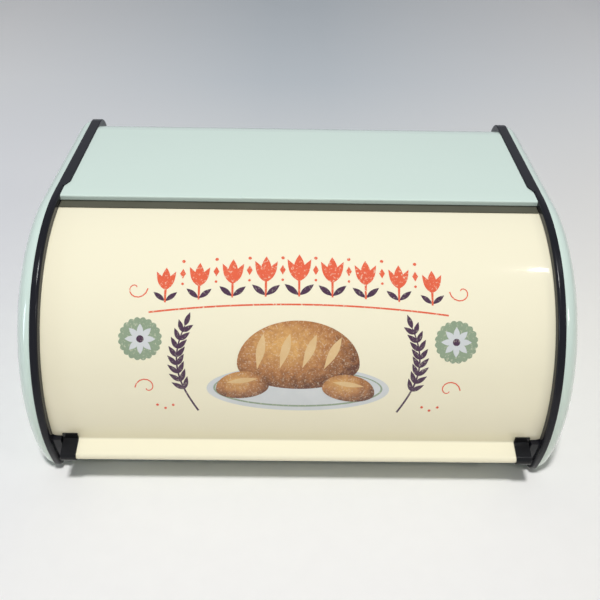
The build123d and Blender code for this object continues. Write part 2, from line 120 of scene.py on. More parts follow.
def moulded_plastic(name, dark, light, gloss, grain, specular=0.5):
    """Coloured moulding with flow marks, moulded grain, handling marks and dust."""
    dust_grey, dustiest = (0.16, 0.155, 0.15), 0.25
    handling, flow_depth = 0.14, 0.00012
    material, tree, shader, place = start_material(name)
    body = tint(tree, cloud(tree, place, 35, detail=3), dark, light)
    dust = stretch(tree, cloud(tree, place, 1400, detail=4), 0.66, 0.8, 0, dustiest)
    tree.links.new(tint(tree, dust, body, dust_grey), shader.inputs["Base Color"])
    marks = cloud(tree, place, 55, detail=5, distortion=1.5)
    tree.links.new(stretch(tree, marks, 0.3, 0.7, gloss, gloss + handling), shader.inputs["Roughness"])
    flow = relief(tree, cloud(tree, place, 45, detail=1), flow_depth)
    skin = relief(tree, cloud(tree, place, 2600), grain, under=flow)
    tree.links.new(skin, shader.inputs["Normal"])
    shader.inputs["Specular IOR Level"].default_value = specular
    return material


def finish_nodes(material, *names):
    """Gives a material to CAD nodes whose shape stays."""
    for name in names:
        for holder in frame["nodes"][name].material_slots:
            holder.material = material


frame_black = moulded_plastic("frame_black", dark=(0.009, 0.009, 0.012), light=(0.013, 0.013, 0.018),
                              gloss=0.13, grain=0.000004, specular=0.22)
finish_nodes(frame_black, "left_side_frame", "right_side_frame")


# Body shell and base pan: steel sheet, bent and hemmed, then stove enamelled in
# pale mint. The enamel flowed out glossy, with a faint orange peel.
def fired_gloss(tree, shader, place):
    """Clear gloss over colour: roughness that wanders a little, and a faint orange peel."""
    glossiest, dullest, peel_depth = 0.15, 0.26, 0.000008
    wiped = stretch(tree, cloud(tree, place, 16, distortion=0.4), 0, 1, glossiest, dullest)
    tree.links.new(wiped, shader.inputs["Roughness"])
    peel = relief(tree, cloud(tree, place, 320, detail=1), peel_depth)
    tree.links.new(peel, shader.inputs["Normal"])
    tree.links.new(peel, shader.inputs["Coat Normal"])
    shader.inputs["Coat Weight"].default_value = 0.7
    shader.inputs["Coat Roughness"].default_value = 0.05
    shader.inputs["Coat IOR"].default_value = 1.5


def enamel(name, colour, deeper):
    """Gloss enamel over sheet steel: colour that clouds a little, and dust in the film."""
    dust_brown, dustiest = (0.45, 0.43, 0.38), 0.12
    material, tree, shader, place = start_material(name)
    body = tint(tree, cloud(tree, place, 7, detail=9, fineness=0.8), colour, deeper)
    dust = stretch(tree, cloud(tree, place, 1100, detail=4), 0.68, 0.8, 0, dustiest)
    tree.links.new(tint(tree, dust, body, dust_brown), shader.inputs["Base Color"])
    fired_gloss(tree, shader, place)
    return material


mint_enamel = enamel("mint_enamel", colour=(0.67, 0.80, 0.725), deeper=(0.645, 0.78, 0.705))
finish_nodes(mint_enamel, "body_shell", "base_pan")


# Hem seal: an olive-black rubber strip glued under the hem, which wipes the lid
# and keeps crumbs and flies out. Its dark olive colour is painted shade: it covers
# the lid where the lid lies in the hem's shadow, and is coloured like cream in that shade.
seal_rubber = moulded_plastic("seal_rubber", dark=(0.085, 0.086, 0.062), light=(0.11, 0.108, 0.08),
                              gloss=0.6, grain=0.00001, specular=0.25)
finish_nodes(seal_rubber, "hem_seal")


# End caps: drawn from the same sheet into shallow domes, with tabs folded in
# over the frames, and enamelled with the rest.
finish_nodes(mint_enamel, "left_end_cap", "right_end_cap")


# Lid: one curved sheet with a lip along its foot, bent out, rolled over at the
# front and folded back underneath. It is enamelled cream inside and out.
sheet = 0.0008
edge_round = 0.00018
lid_foot_angle = math.radians(3.1)
lid_top_angle = math.radians(97.0)
lip_droop = math.radians(15.0)
lip_bend = 0.0016
lip_nose = 0.0031
lip_return = 0.009
clip_wall = 0.0012
corner_lift = 0.0016
corner_round = 0.006
corner_share = 0.1    # part of the arc, at its foot, that gives way to round the corner
cream, deep_cream = (0.93, 0.875, 0.66), (0.91, 0.855, 0.64)
lid_axis = Vector(frame["joints"][0]["pos_m"])
lid_low, lid_high = (Vector(corner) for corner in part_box("lid_panel"))
lid_radius = lid_high.z - lid_axis.z
lid_half = lid_high.x
lip_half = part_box("right_handle_clip")[1][0] - clip_wall


def on_lid(x, angle):
    """Point of the lid's outer face; the angle rises from straight ahead."""
    forward, upward = lid_radius * math.cos(angle), lid_radius * math.sin(angle)
    return Vector((x, lid_axis.y - forward, lid_axis.z + upward))


def turn_off(start, heading, radius, turn, steps):
    """Points of an arc that leaves start along the heading; a positive turn is to the left."""
    side = math.copysign(1, turn)
    centre = start + side * radius * Vector((-heading.y, heading.x))
    arm = start - centre
    return [centre + Matrix.Rotation(turn * step / steps, 2) @ arm for step in range(1, steps + 1)]


def new_piece(name, mesh):
    """Object in the scene from a bmesh, which is freed."""
    data = bpy.data.meshes.new(name)
    mesh.to_mesh(data)
    mesh.free()
    piece = bpy.data.objects.new(name, data)
    bpy.context.scene.collection.objects.link(piece)
    return piece


# The lip's section, from the crease at the lid's foot to its folded edge
bend_steps, nose_steps = 10, 18
crease = Vector(on_lid(0, -lid_foot_angle).yz)
down = Vector((math.sin(lid_foot_angle), -math.cos(lid_foot_angle)))
outward = Vector((-math.cos(lip_droop), -math.sin(lip_droop)))
bend = turn_off(crease, down, lip_bend, lip_droop - lid_foot_angle - math.pi / 2, bend_steps)
run = (bend[-1].x - lid_low.y - lip_nose * (1 - math.sin(lip_droop))) / math.cos(lip_droop)
tip = bend[-1] + run * outward
nose = turn_off(tip, outward, lip_nose, math.pi - lip_droop, nose_steps)
lip_line = [crease, *bend, bend[-1] + run / 2 * outward, tip, *nose]
lip_line += [nose[-1] + Vector((lip_return * share, 0)) for share in (0.5, 1.0)]

# The sheet, a column of points for each place from left to right; only those
# between the clips go on into the lip
lip_steps, corner_steps, arc_steps = 24, 6, 120
corner_start = lid_half - corner_round
lid_corner = math.asin((on_lid(0, -lid_foot_angle).z + corner_lift - lid_axis.z) / lid_radius)
along_lip = [lip_half * (2 * step / lip_steps - 1) for step in range(lip_steps + 1)]
past_lip = [(lip_half + corner_start) / 2, corner_start]
past_lip += [lid_half - corner_round * (1 - math.sin(math.pi / 2 * step / corner_steps))
             for step in range(1, corner_steps + 1)]
mesh = bmesh.new()
columns = []
for x in [-x for x in reversed(past_lip)] + along_lip + past_lip:
    overhang = max(0.0, abs(x) - corner_start) / corner_round
    lift = corner_round / lid_radius * (1 - math.sqrt(max(0.0, 1 - overhang**2)))
    column = []
    for step in range(arc_steps + 1):
        share = step / arc_steps
        angle = lid_top_angle + (lid_corner - lid_top_angle) * share
        angle += lift * max(0.0, share - (1 - corner_share)) / corner_share
        column.append(mesh.verts.new(on_lid(x, angle)))
    if x in along_lip:
        column.append(mesh.verts.new(on_lid(x, (lid_corner - lid_foot_angle) / 2)))
        column += [mesh.verts.new((x, *point)) for point in lip_line]
    columns.append(column)
for left, right in zip(columns, columns[1:]):
    for row in range(min(len(left), len(right)) - 1):
        mesh.faces.new((left[row], left[row + 1], right[row + 1], right[row]))
bmesh.ops.recalc_face_normals(mesh, faces=mesh.faces)
top_face = max(mesh.faces, key=lambda face: face.calc_center_median().z)
if top_face.normal.z < 0:
    bmesh.ops.reverse_faces(mesh, faces=mesh.faces)
for face in mesh.faces:
    face.smooth = True
lid_sheet = new_piece("lid_sheet", mesh)
cream_enamel = enamel("cream_enamel", cream, deep_cream)
lid_sheet.data.materials.append(cream_enamel)
wall = lid_sheet.modifiers.new("wall", "SOLIDIFY")
wall.thickness = sheet
wall.offset = -1
wall.use_even_offset = True
soft_edge = lid_sheet.modifiers.new("soft_edge", "BEVEL")
soft_edge.width = edge_round
soft_edge.segments = 2
soft_edge.limit_method = "ANGLE"
soft_edge.angle_limit = math.radians(50)
soft_edge.harden_normals = True
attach(lid_sheet, "lid")
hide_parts("lid_panel")


# Lid print: a kitchen ornament, screen printed in vermilion, aubergine and sage
# over the cream and lacquered. Each ink is a thin film that follows the lid's curve.
print_middle = math.radians(38.0)    # angle on the lid of the drawing's middle line
film = 0.03                          # this and all that is drawn are in millimetres
lowest_film = 0.03
film_step = 0.035
overlap_step = 0.006
overlap_layers = 4
band = 1.5
snap = 0.02


def start_group(name, given):
    """A Geometry Nodes tree with named inputs, and its input and output nodes."""
    tree = bpy.data.node_groups.new(name, "GeometryNodeTree")
    tree.interface.new_socket("Geometry", in_out="INPUT", socket_type="NodeSocketGeometry")
    for label, kind in given.items():
        tree.interface.new_socket(label, in_out="INPUT", socket_type="NodeSocket" + kind)
    tree.interface.new_socket("Geometry", in_out="OUTPUT", socket_type="NodeSocketGeometry")
    return tree, tree.nodes.new("NodeGroupInput").outputs, tree.nodes.new("NodeGroupOutput").inputs


def run_group(piece, group, values):
    """Runs a Geometry Nodes tree on a piece with those input values, and keeps the plain mesh."""
    steps = piece.modifiers.new(group.name, "NODES")
    steps.node_group = group
    for socket in group.interface.items_tree:
        if socket.name in values:
            steps[socket.identifier] = values[socket.name]
    finished = piece.evaluated_get(bpy.context.evaluated_depsgraph_get())
    mesh = bpy.data.meshes.new_from_object(finished)
    piece.modifiers.clear()
    piece.data = mesh
    return piece


def calculate(tree, operation, first, second=None):
    """Math node on sockets or numbers."""
    node = tree.nodes.new("ShaderNodeMath")
    node.operation = operation
    for socket, value in zip(node.inputs, (first, second)):
        if isinstance(value, (int, float)):
            socket.default_value = value
        elif value is not None:
            tree.links.new(value, socket)
    return node.outputs["Value"]


wrap, given, result = start_group("wrap_on_lid", {
    "Radius": "Float", "Middle": "Float", "Axis Y": "Float", "Axis Z": "Float", "Ink": "Material"})
point = wrap.nodes.new("GeometryNodeInputPosition")
flat = wrap.nodes.new("ShaderNodeSeparateXYZ")
wrap.links.new(point.outputs["Position"], flat.inputs["Vector"])
reach = calculate(wrap, "ADD", given["Radius"], flat.outputs["Z"])
rise = calculate(wrap, "DIVIDE", flat.outputs["Y"], given["Radius"])
angle = calculate(wrap, "ADD", given["Middle"], rise)
forward = calculate(wrap, "MULTIPLY", reach, calculate(wrap, "COSINE", angle))
upward = calculate(wrap, "MULTIPLY", reach, calculate(wrap, "SINE", angle))
curved = wrap.nodes.new("ShaderNodeCombineXYZ")
wrap.links.new(flat.outputs["X"], curved.inputs["X"])
wrap.links.new(calculate(wrap, "SUBTRACT", given["Axis Y"], forward), curved.inputs["Y"])
wrap.links.new(calculate(wrap, "ADD", given["Axis Z"], upward), curved.inputs["Z"])
placed = wrap.nodes.new("GeometryNodeSetPosition")
wrap.links.new(given["Geometry"], placed.inputs["Geometry"])
wrap.links.new(curved.outputs["Vector"], placed.inputs["Position"])
inked = wrap.nodes.new("GeometryNodeSetMaterial")
wrap.links.new(placed.outputs["Geometry"], inked.inputs["Geometry"])
wrap.links.new(given["Ink"], inked.inputs["Material"])
wrap.links.new(inked.outputs["Geometry"], result["Geometry"])


def turned(outline, u, v, turn):
    """The outline moved to (u, v) and turned that many degrees to the right."""
    cosine, sine = math.cos(math.radians(turn)), math.sin(math.radians(turn))
    return [(u + x * cosine + y * sine, v - x * sine + y * cosine) for x, y in outline]


def petal(u, v, length, width, turn, belly=1.0):
    """Leaf outline that grows from its root at (u, v); below 1, the belly sits low."""
    steps = 14
    edge = [(width / 2 * math.sin(math.pi * (step / steps) ** belly), length * step / steps)
            for step in range(steps + 1)]
    return turned(edge + [(-x, y) for x, y in reversed(edge[1:-1])], u, v, turn)


def oval(u, v, width, height, scallops=0, depth=0.0):
    """Oval outline, with a scalloped edge if asked."""
    steps = max(64, scallops * 8)
    turns = [2 * math.pi * step / steps for step in range(steps)]
    reach = [1 + depth * abs(math.sin(scallops * turn / 2)) for turn in turns]
    return [(u + width / 2 * far * math.cos(turn), v + height / 2 * far * math.sin(turn))
            for turn, far in zip(turns, reach)]


def flattened(outline, share):
    """The outline with all that lies below its middle pressed to that share."""
    return [(x, y if y > 0 else y * share) for x, y in outline]


def stroke(points, start_width, end_width):
    """Outline of a brush stroke along the points, from one width to the other."""
    left, right = [], []
    last = len(points) - 1
    for index, (u, v) in enumerate(points):
        before, after = points[max(index - 1, 0)], points[min(index + 1, last)]
        along = Vector((after[0] - before[0], after[1] - before[1])).normalized()
        half = (start_width + (end_width - start_width) * index / last) / 2
        left.append((u - half * along.y, v + half * along.x))
        right.append((u + half * along.y, v - half * along.x))
    return left + right[::-1]


def ink(name, material, level, outlines):
    """Films of ink that many steps up from the enamel, with a shade map from -1 to 1 over each.

    Outlines that follow each other in the list may lie one over the other. The films are
    cut into bands, so that they can follow the curve."""
    mesh = bmesh.new()
    shade = mesh.loops.layers.uv.new("shade")
    for index, outline in enumerate(outlines):
        height = lowest_film + film_step * level + overlap_step * (index % overlap_layers)
        lows = [min(point[axis] for point in outline) for axis in (0, 1)]
        highs = [max(point[axis] for point in outline) for axis in (0, 1)]
        face = mesh.faces.new([mesh.verts.new((u, v, height)) for u, v in outline])
        for loop in face.loops:
            loop[shade].uv = [2 * (loop.vert.co[axis] - lows[axis]) / (highs[axis] - lows[axis]) - 1
                              for axis in (0, 1)]
    mesh.normal_update()
    bmesh.ops.reverse_faces(mesh, faces=[face for face in mesh.faces if face.normal.z < 0])
    bmesh.ops.triangulate(mesh, faces=mesh.faces)
    low, high = (pick(vert.co.y for vert in mesh.verts) for pick in (min, max))
    for step in range(1, math.ceil((high - low) / band)):
        bmesh.ops.bisect_plane(mesh, geom=mesh.verts[:] + mesh.edges[:] + mesh.faces[:],
                               dist=snap, plane_co=(0, low + step * band, 0), plane_no=(0, 1, 0))
    under = mesh.faces[:]
    grown = bmesh.ops.extrude_face_region(mesh, geom=under)["geom"]
    raised = [part for part in grown if isinstance(part, bmesh.types.BMVert)]
    bmesh.ops.translate(mesh, verts=raised, vec=(0, 0, film))
    under = [face for face in under if face.is_valid and face.normal.z > 0]
    bmesh.ops.reverse_faces(mesh, faces=under)
    bmesh.ops.scale(mesh, vec=(0.001, 0.001, 0.001), verts=mesh.verts)
    piece = run_group(new_piece(name, mesh), wrap, {
        "Radius": lid_radius, "Middle": print_middle, "Axis Y": lid_axis.y, "Axis Z": lid_axis.z,
        "Ink": material})
    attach(piece, "lid")


def ink_colour(name, colour, darker, worn):
    """Lacquered ink, thin in places so that the cream shows through."""
    material, tree, shader, place = start_material(name)
    body = tint(tree, cloud(tree, place, 90, detail=4), colour, darker)
    thin = stretch(tree, cloud(tree, place, 520, detail=6, fineness=0.7), 0.56, 0.64, 0, worn)
    tree.links.new(tint(tree, thin, body, deep_cream), shader.inputs["Base Color"])
    fired_gloss(tree, shader, place)
    return material


def baked_crust(name):
    """Crust printed in tones, from golden in the light to dark at the rim, dusted with flour."""
    golden, brown, burnt = (0.72, 0.40, 0.13), (0.45, 0.19, 0.06), (0.13, 0.045, 0.02)
    flour_white, flouriest = (0.84, 0.72, 0.52), 0.6
    lightest_spot, blotch = (-0.2, 0.3, 0), 0.3
    material, tree, shader, place = start_material(name)
    chart = tree.nodes.new("ShaderNodeUVMap")
    chart.uv_map = "shade"
    offset = tree.nodes.new("ShaderNodeVectorMath")
    offset.operation = "DISTANCE"
    tree.links.new(chart.outputs["UV"], offset.inputs[0])
    offset.inputs[1].default_value = lightest_spot
    blotches = cloud(tree, place, 240, detail=5, distortion=0.6)
    depth = calculate(tree, "ADD", offset.outputs["Value"],
                      stretch(tree, blotches, 0.2, 0.8, -blotch, blotch))
    lit = tint(tree, stretch(tree, depth, 0.1, 0.75, 0, 1), golden, brown)
    baked = tint(tree, stretch(tree, depth, 0.75, 1.35, 0, 1), lit, burnt)
    dusting = cloud(tree, place, 700, detail=6, fineness=0.7)
    flour = stretch(tree, dusting, 0.54, 0.66, 0, flouriest)
    tree.links.new(tint(tree, flour, baked, flour_white), shader.inputs["Base Color"])
    fired_gloss(tree, shader, place)
    return material


vermilion = ink_colour("vermilion_ink", (0.84, 0.145, 0.06), (0.74, 0.105, 0.045), worn=0.75)
aubergine = ink_colour("aubergine_ink", (0.052, 0.02, 0.05), (0.085, 0.035, 0.075), worn=0.3)
sage = ink_colour("sage_ink", (0.32, 0.40, 0.27), (0.25, 0.33, 0.22), worn=0.45)
pottery = ink_colour("pottery_ink", (0.72, 0.74, 0.74), (0.60, 0.63, 0.64), worn=0.1)
crumb = ink_colour("crumb_ink", (0.83, 0.62, 0.33), (0.68, 0.42, 0.18), worn=0.15)
crust = baked_crust("crust_ink")

# Border of tulips over a ground line, with a leaf on each side of every stem and a
# lozenge and two dots between each two
tulip_pitch, border_foot, border_sag, shrink = 25.0, 27.0, 0.35, 0.05
ground_drop, ground_reach, ground_stride, ground_width = 6, 112, 4, 1.3


def border_line(place_in_row):
    """Place of a tulip's foot; the row's middle is 0, and the row sags towards both ends."""
    return tulip_pitch * place_in_row, border_foot - border_sag * place_in_row**2


tulips, leaves, lozenges = [], [], []
for place_in_row in range(-4, 5):
    u, foot = border_line(place_in_row)
    grow = 1 - shrink * abs(place_in_row)
    tulips.append(petal(u, foot + 13 * grow, length=21 * grow, width=8 * grow, turn=0))
    for side in (-1, 1):
        tulips.append(petal(u, foot + 12 * grow, length=20 * grow, width=6.5 * grow, turn=side * 27,
                            belly=0.8))
        leaves.append(petal(u, foot + 1, length=14 * grow, width=4.6 * grow, turn=side * 52))
    tulips.append(stroke([(u, foot), (u, foot + 14 * grow)], start_width=1.4, end_width=1.8))
for gap_in_row in range(-4, 4):
    u, foot = border_line(gap_in_row + 0.5)
    lozenges.append(turned([(0, 0), (2.2, 4), (0, 8), (-2.2, 4)], u, foot + 17, turn=0))
    lozenges += [oval(u, foot + 31, width=2.6, height=2.6), oval(u, foot + 13, width=2.0, height=2.0)]
ground = [border_line(u / tulip_pitch) for u in range(-ground_reach, ground_reach + 1, ground_stride)]
ground = [(u, v - ground_drop) for u, v in ground]
tulips.append(stroke(ground, start_width=ground_width, end_width=ground_width))
ink("print_tulips", vermilion, 0, tulips)
ink("print_leaves", aubergine, 0, leaves)
ink("print_lozenges", vermilion, 0, lozenges)

# Loaf and two rolls on an oval dish
ink("print_dish", pottery, 0, [oval(0, -44, width=138, height=38)])
ink("print_dish_line", sage, 1, [oval(0, -43.5, width=128, height=32)])
ink("print_dish_well", pottery, 2, [oval(0, -43.2, width=125, height=29.5)])
loaf = flattened(oval(0, 0, width=92, height=66), 0.6)
ink("print_loaf", crust, 3, [turned(loaf, 0, -24, turn=0)])
ink("print_loaf_cuts", crumb, 4, [petal(u, -27 - 0.05 * abs(u), length=28, width=6.5, turn=turn, belly=1.2)
                                  for u, turn in ((-31, 10), (-14, 16), (3, 22), (19, 28))])
bread_roll = flattened(oval(0, 0, width=40, height=26), 0.7)
ink("print_rolls", crust, 5, [turned(bread_roll, -42, -43, turn=-6), turned(bread_roll, 38, -45, turn=8)])
ink("print_roll_cuts", crumb, 6, [petal(u, v, length=24, width=4, turn=turn)
                                  for u, v, turn in ((-54, -39, 82), (26, -38, 98))])

# Ears of wheat that curve up beside the dish, mirrored
stalk_u, stalk_v, stalk_height, stalk_sway = 76, -64, 68, 15
stalk_steps, first_grain, grain_stride, grain_spread = 32, 9, 3, 37
stems, grains = [], []
for side in (-1, 1):
    path = []
    for share in (step / stalk_steps for step in range(stalk_steps + 1)):
        aside = stalk_u + stalk_sway * math.sin(math.pi * share * 0.8)
        path.append((side * aside, stalk_v + stalk_height * share))
    stems.append(stroke(path, start_width=1.6, end_width=0.9))
    for index in range(first_grain, stalk_steps - 1, grain_stride):
        (u, v), (u_before, v_before) = path[index], path[index - 1]
        heading = math.degrees(math.atan2(u - u_before, v - v_before))
        grains += [petal(u, v, length=11.5 - 0.06 * index, width=3.7, turn=heading + lean, belly=0.8)
                   for lean in (-grain_spread, grain_spread)]
    grains.append(petal(*path[-1], length=11, width=3.8, turn=heading, belly=0.85))
ink("print_stems", aubergine, 0, stems)
ink("print_grains", aubergine, 1, grains)

# Rosettes, scrolls and small triangles of dots at the sides
rosette_u, rosette_v, petal_root, petal_pitch = 118, -6, 0.8, 45
scroll_steps, scroll_drop, scroll_shift = 14, 38, 4
scroll_radius, scroll_winding, scroll_turn = 9, 0.62, 0.42
rosettes, hearts, petals, scrolls, dots = [], [], [], [], []
for side in (-1, 1):
    u, v = side * rosette_u, rosette_v
    rosettes.append(oval(u, v, width=30, height=30, scallops=20, depth=0.09))
    for turn in range(0, 360, petal_pitch):
        root = turned([(0, petal_root)], u, v, turn)[0]
        petals.append(petal(*root, length=10.7, width=4.6, turn=turn))
    hearts.append(oval(u, v, width=5.5, height=5.5))
    for flip in (1, -1):
        curl = []
        for step in range(scroll_steps):
            reach, bearing = scroll_radius - scroll_winding * step, scroll_turn * step
            curl.append((u + side * flip * (reach * math.cos(bearing) - scroll_shift),
                         v + flip * (reach * math.sin(bearing) - scroll_drop)))
        scrolls.append(stroke(curl, start_width=1.0, end_width=0.7))
    dots += [oval(side * far, high, width=2.2, height=2.2)
             for far, high in ((95, -59), (101, -62), (107, -59))]
ink("print_rosettes", sage, 0, rosettes)
ink("print_rosette_petals", pottery, 1, petals)
ink("print_rosette_hearts", aubergine, 2, hearts)
ink("print_scrolls", vermilion, 0, scrolls + dots)


# Handle clips: caps of black ABS pushed over the ends of the lip, where the lid is
# taken hold of. They are moulded glossier than the frames.
clip_black = moulded_plastic("clip_black", dark=(0.008, 0.008, 0.009), light=(0.013, 0.013, 0.014),
                             gloss=0.09, grain=0.000003, specular=0.25)
finish_nodes(clip_black, "left_handle_clip", "right_handle_clip")


# Lid runners: nylon shoes riveted over the lid's upper corners, which slide in
# the grooves of the frames.
runner_nylon = moulded_plastic("runner_nylon", dark=(0.035, 0.035, 0.035), light=(0.05, 0.05, 0.05),
                               gloss=0.42, grain=0.00001)
finish_nodes(runner_nylon, "left_lid_runner", "right_lid_runner")


# Screws and rivets: zinc-plated steel. Pan-head screws with a cross recess go through
# the sheets and the frames; domed rivets hold the bottom seam and the runners.
def zinc_plate(name):
    """Bright zinc plating with a faint mottle and fine turning marks."""
    cool_zinc, warm_zinc, mark_depth = (0.56, 0.57, 0.58), (0.68, 0.67, 0.63), 0.000004
    material, tree, shader, place = start_material(name)
    mottle = cloud(tree, place, 900, detail=4)
    tree.links.new(tint(tree, mottle, cool_zinc, warm_zinc), shader.inputs["Base Color"])
    tree.links.new(stretch(tree, mottle, 0.3, 0.7, 0.28, 0.42), shader.inputs["Roughness"])
    marks = relief(tree, cloud(tree, place, 4000, detail=1), mark_depth)
    tree.links.new(marks, shader.inputs["Normal"])
    shader.inputs["Metallic"].default_value = 1.0
    return material


def lathe(name, profile):
    """Pattern turned about Z from radius and height in millimetres, bottom to top."""
    steps, sharpest_smooth = 28, math.radians(38)
    turns = [2 * math.pi * step / steps for step in range(steps)]
    mesh = bmesh.new()
    rings = []
    for radius, height in profile:
        around = turns if radius else turns[:1]
        rings.append([mesh.verts.new((radius * math.cos(turn) / 1000, radius * math.sin(turn) / 1000,
                                      height / 1000)) for turn in around])
    for low, high in zip(rings, rings[1:]):
        for step in range(steps):
            after = step + 1
            corners = (low[step % len(low)], low[after % len(low)],
                       high[after % len(high)], high[step % len(high)])
            mesh.faces.new(list(dict.fromkeys(corners)))
    for face in mesh.faces:
        face.smooth = True
    for edge in mesh.edges:
        edge.smooth = edge.calc_face_angle(0) < sharpest_smooth
    return new_piece(name, mesh)


fasten, given, result = start_group("set_fasteners", {
    "Pattern": "Object", "Largest spin": "Float", "Seed": "Int", "Finish": "Material"})
facing = fasten.nodes.new("GeometryNodeInputNamedAttribute")
facing.data_type = "FLOAT_VECTOR"
facing.inputs["Name"].default_value = "facing"
upright = fasten.nodes.new("FunctionNodeAlignRotationToVector")
upright.axis = "Z"
fasten.links.new(facing.outputs["Attribute"], upright.inputs["Vector"])
spin = fasten.nodes.new("FunctionNodeRandomValue")
largest, spin_value = spin.inputs[3], spin.outputs[1]
fasten.links.new(given["Largest spin"], largest)
fasten.links.new(given["Seed"], spin.inputs["Seed"])
about_z = fasten.nodes.new("ShaderNodeCombineXYZ")
fasten.links.new(spin_value, about_z.inputs["Z"])
spun = fasten.nodes.new("FunctionNodeEulerToRotation")
fasten.links.new(about_z.outputs["Vector"], spun.inputs["Euler"])
turned_home = fasten.nodes.new("FunctionNodeRotateRotation")
turned_home.rotation_space = "LOCAL"
fasten.links.new(upright.outputs["Rotation"], turned_home.inputs["Rotation"])
fasten.links.new(spun.outputs["Rotation"], turned_home.inputs["Rotate By"])
pattern = fasten.nodes.new("GeometryNodeObjectInfo")
fasten.links.new(given["Pattern"], pattern.inputs["Object"])
set_out = fasten.nodes.new("GeometryNodeInstanceOnPoints")
fasten.links.new(given["Geometry"], set_out.inputs["Points"])
fasten.links.new(pattern.outputs["Geometry"], set_out.inputs["Instance"])
fasten.links.new(turned_home.outputs["Rotation"], set_out.inputs["Rotation"])
realized = fasten.nodes.new("GeometryNodeRealizeInstances")
fasten.links.new(set_out.outputs["Instances"], realized.inputs["Geometry"])
finished = fasten.nodes.new("GeometryNodeSetMaterial")
fasten.links.new(realized.outputs["Geometry"], finished.inputs["Geometry"])
fasten.links.new(given["Finish"], finished.inputs["Material"])
fasten.links.new(finished.outputs["Geometry"], result["Geometry"])


def set_fasteners(name, pattern, spots, finish, body, slot, *nodes):
    """Sets the pattern at each spot, a place and the way its head faces, instead of CAD nodes."""
    mesh = bmesh.new()
    way = mesh.verts.layers.float_vector.new("facing")
    for spot, head_way in spots:
        mesh.verts.new(spot)[way] = head_way
    piece = run_group(new_piece(name, mesh), fasten, {
        "Pattern": pattern, "Largest spin": math.tau, "Seed": 7, "Finish": finish})
    bpy.data.objects.remove(pattern)
    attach(piece, body)
    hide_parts(*nodes)


def solid_boxes(node):
    """Lowest and highest corners of each solid of a CAD node, in the order of their places."""
    mesh = bmesh.new()
    mesh.from_mesh(frame["nodes"][node].data)
    bmesh.ops.remove_doubles(mesh, verts=mesh.verts, dist=1e-6)
    left, boxes = set(mesh.verts), []
    while left:
        front, solid = [left.pop()], []
        while front:
            vert = front.pop()
            solid.append(vert.co.copy())
            near = {edge.other_vert(vert) for edge in vert.link_edges} & left
            left -= near
            front += near
        boxes.append([Vector([pick(corner[axis] for corner in solid) for axis in range(3)])
                      for pick in (min, max)])
    mesh.free()
    return sorted(boxes, key=lambda corners: [round(place, 4) for place in corners[0]])


# Sizes of the screws in millimetres
screw_head, screw_end = 1.8, -6.4
core, crest, thread_pitch, threads = 1.25, 1.5, 0.7, 8
recess_arm, recess_bar = 1.65, 0.35
recess_floor, recess_mouth = 0.6, 2.2
floor_share, mouth_share = 0.5, 1.1


def cross_recess():
    """Tapered cross like the tip of a screwdriver, which is cut out of the screw's head."""
    quarter = [(recess_arm, recess_bar), (recess_bar, recess_bar), (recess_bar, recess_arm)]
    cross = []
    for turn in range(4):
        cross += quarter
        quarter = [(-y, x) for x, y in quarter]
    mesh = bmesh.new()
    floor, mouth = ([mesh.verts.new(Vector((share * x, share * y, height)) / 1000) for x, y in cross]
                    for share, height in ((floor_share, recess_floor), (mouth_share, recess_mouth)))
    mesh.faces.new(floor[::-1])
    mesh.faces.new(mouth)
    for index in range(len(cross)):
        after = (index + 1) % len(cross)
        mesh.faces.new((floor[index], floor[after], mouth[after], mouth[index]))
    bmesh.ops.recalc_face_normals(mesh, faces=mesh.faces)
    return new_piece("driver_tip", mesh)


def pan_head_screw():
    """Screw whose head stands on Z = 0 and whose thread hangs below, with its recess cut."""
    profile = [(0, screw_end), (0.9, screw_end), (core, screw_end + 0.4)]
    for ridge in range(threads):
        root = screw_end + 0.55 + thread_pitch * ridge
        profile += [(core, root), (crest, root + 0.3)]
    profile += [(core, -0.3), (crest, 0), (3.0, 0), (3.0, 0.45), (2.88, 0.95), (2.5, 1.4), (1.8, 1.68),
                (0.9, screw_head - 0.02), (0, screw_head)]
    screw = lathe("screw_pattern", profile)
    driver_tip = cross_recess()
    recess = screw.modifiers.new("recess", "BOOLEAN")
    recess.operation = "DIFFERENCE"
    recess.object = driver_tip
    cut_screw = screw.evaluated_get(bpy.context.evaluated_depsgraph_get())
    screw.data = bpy.data.meshes.new_from_object(cut_screw)
    screw.modifiers.clear()
    bpy.data.objects.remove(driver_tip)
    return screw


def rivet(length):
    """Rivet headed at both ends, of that whole length in millimetres."""
    half, head = length / 2, 0.9
    tail = [(0, -half), (1.3, -half + 0.08), (2.1, -half + 0.35), (2.5, -half + 0.7), (2.6, -half + head),
            (1.5, -half + head)]
    return lathe("rivet_pattern", tail + [(radius, -height) for radius, height in reversed(tail)])


zinc = zinc_plate("zinc_plate")
for side, inward in (("left", 1), ("right", -1)):
    spots = []
    for low, high in solid_boxes(f"{side}_frame_screws"):
        middle = (low + high) / 2
        outermost = high.x if inward > 0 else low.x
        seat = outermost - inward * screw_head / 1000
        spots.append(((seat, middle.y, middle.z), (inward, 0, 0)))
    set_fasteners(f"{side}_screws", pan_head_screw(), spots, zinc, "box", "zinc_steel",
                  f"{side}_frame_screws")
seam_boxes = solid_boxes("seam_rivets")
seam_length = 1000 * (seam_boxes[0][1].z - seam_boxes[0][0].z)
spots = [((low + high) / 2, (0, 0, 1)) for low, high in seam_boxes]
set_fasteners("seam_rivet_set", rivet(seam_length), spots, zinc, "box", "zinc_steel", "seam_rivets")
runner_rivet_length = 4.9
spots = []
for side in ("left", "right"):
    low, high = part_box(f"{side}_runner_rivet")
    middle = (low + high) / 2
    spots.append((middle, (0, middle.y - lid_axis.y, middle.z - lid_axis.z)))
set_fasteners("runner_rivet_pair", rivet(runner_rivet_length), spots, zinc, "lid", "zinc_steel",
              "left_runner_rivet", "right_runner_rivet")


